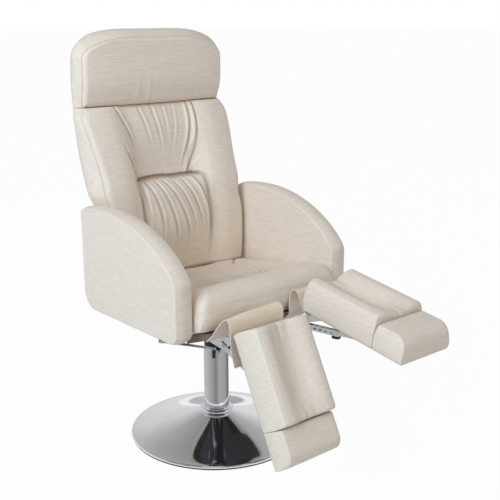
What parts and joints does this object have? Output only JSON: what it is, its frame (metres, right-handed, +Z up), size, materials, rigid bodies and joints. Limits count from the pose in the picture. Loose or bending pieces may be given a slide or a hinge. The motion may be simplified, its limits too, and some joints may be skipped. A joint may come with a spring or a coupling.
{
  "type": "pedicure chair",
  "caption": "Cream leatherette pedicure chair on a chrome disc base with a gas lift, reclining back, and split leg rests with sliding foot pads that lift separately.",
  "frame": {"origin": "centre of the base on the floor", "axes": "+Z up; the sitter faces -Y, so +X is the sitter's left"},
  "size_m": [0.604, 0.9754, 1.146],
  "materials": {
    "chrome": "mirror polished plate",
    "zinc_plate": "bright zinc plate, satin",
    "painted_steel": "black powder coat",
    "cast_plate": "painted casting",
    "black_rubber": "matt",
    "black_plastic": "moulded",
    "brown_board": "brown fibre board",
    "cream_leatherette": "satin, fine crosswise grain"
  },
  "bodies": {
    "base": {"floor_plate": "cast_plate", "rim_trim": "black_rubber", "base_cover": "chrome", "base_collar": "chrome", "column_tube": "chrome", "column_socket": "painted_steel", "thrust_bearing": "painted_steel", "guide_bush": "black_plastic"},
    "spindle": {"piston_rod": "zinc_plate"},
    "seat": {"pressure_tube": "chrome", "lift_actuator": "black_plastic", "mechanism_hub": "zinc_plate", "mounting_plate": "painted_steel", "seat_board": "black_plastic", "front_rail": "brown_board", "seat_cushion": "cream_leatherette", "seat_rail_left": "painted_steel", "seat_rail_right": "painted_steel", "arm_bracket_left": "painted_steel", "arm_bracket_right": "painted_steel", "arm_left": "cream_leatherette", "arm_right": "cream_leatherette", "leg_arm_left": "zinc_plate", "leg_arm_right": "zinc_plate", "back_hinge_left": "painted_steel", "back_hinge_right": "painted_steel", "flap_left": "cream_leatherette", "flap_right": "cream_leatherette"},
    "lever": {"lever_rod": "zinc_plate", "lever_end": "zinc_plate", "lever_catch": "black_plastic"},
    "backrest": {"back_shell": "cream_leatherette", "back_cushion": "cream_leatherette", "headrest_pad": "cream_leatherette", "back_strap_left": "painted_steel", "back_strap_right": "painted_steel", "back_pin_left": "zinc_plate", "back_pin_right": "zinc_plate"},
    "leg_left": {"leg_board_left": "brown_board", "leg_pad_left": "cream_leatherette", "leg_bracket_left": "zinc_plate", "leg_pin_left": "zinc_plate", "slide_guide_left": "zinc_plate"},
    "foot_left": {"foot_board_left": "brown_board", "foot_pad_left": "cream_leatherette", "foot_slide_left": "zinc_plate"},
    "strut_left": {"strut_channel_left": "zinc_plate", "strut_latch_left": "black_plastic"},
    "bar_left": {"strut_bar_left": "zinc_plate"},
    "leg_right": {"leg_board_right": "brown_board", "leg_pad_right": "cream_leatherette", "leg_bracket_right": "zinc_plate", "leg_pin_right": "zinc_plate", "slide_guide_right": "zinc_plate"},
    "foot_right": {"foot_board_right": "brown_board", "foot_pad_right": "cream_leatherette", "foot_slide_right": "zinc_plate"},
    "strut_right": {"strut_channel_right": "zinc_plate", "strut_latch_right": "black_plastic"},
    "bar_right": {"strut_bar_right": "zinc_plate"}
  },
  "joints": [
    {"name": "seat_swivel", "type": "hinge", "parent": "base", "child": "spindle", "pos_m": [0, 0, 0.06], "axis": [0, 0, 1], "continuous": true},
    {"name": "height_lift", "type": "slide", "parent": "spindle", "child": "seat", "axis": [0, 0, 1], "range_m": [0, 0.12]},
    {"name": "lever_pull", "type": "hinge", "parent": "seat", "child": "lever", "pos_m": [-0.03981, -0.03981, 0.2765], "axis": [0, 1, 0], "range_deg": [0, 8], "stiffness_Nm_per_rad": 6, "springref_deg": -2.86},
    {"name": "back_recline", "type": "hinge", "parent": "seat", "child": "backrest", "pos_m": [0, 0.205, 0.415], "axis": [-1, 0, 0], "range_deg": [0, 35]},
    {"name": "leg_left_raise", "type": "hinge", "parent": "seat", "child": "leg_left", "pos_m": [0, -0.3305, 0.4125], "axis": [-1, 0, 0], "range_deg": [-61.32, 11.68], "deforming": ["flap_left"]},
    {"name": "foot_left_extend", "type": "slide", "parent": "leg_left", "child": "foot_left", "axis": [0, -0.9885, -0.1509], "range_m": [0, 0.08]},
    {"name": "strut_left_swing", "type": "hinge", "parent": "seat", "child": "strut_left", "pos_m": [0, -0.20362, 0.35333], "axis": [-1, 0, 0], "range_deg": [-30.67, 5.85]},
    {"name": "bar_left_slide", "type": "slide", "parent": "strut_left", "child": "bar_left", "axis": [0, -0.9951, 0.0986], "range_m": [-0.08719, 0.01701]},
    {"name": "leg_right_raise", "type": "hinge", "parent": "seat", "child": "leg_right", "pos_m": [0, -0.3305, 0.4125], "axis": [-1, 0, 0], "range_deg": [-7.28, 65.72], "deforming": ["flap_right"]},
    {"name": "foot_right_extend", "type": "slide", "parent": "leg_right", "child": "foot_right", "axis": [0, -0.4583, -0.8888], "range_m": [0, 0.08]},
    {"name": "strut_right_swing", "type": "hinge", "parent": "seat", "child": "strut_right", "pos_m": [0, -0.20362, 0.35333], "axis": [-1, 0, 0], "range_deg": [-3.65, 32.87]},
    {"name": "bar_right_slide", "type": "slide", "parent": "strut_right", "child": "bar_right", "axis": [0, -0.9313, -0.3642], "range_m": [-0.00925, 0.07953]}
  ],
  "couplings": [
    {"joint": "strut_left_swing", "follows": "leg_left_raise", "ratio": 0.5},
    {"joint": "bar_left_slide", "follows": "leg_left_raise", "m_per_rad": 0.081},
    {"joint": "strut_right_swing", "follows": "leg_right_raise", "ratio": 0.5},
    {"joint": "bar_right_slide", "follows": "leg_right_raise", "m_per_rad": 0.0689}
  ]
}
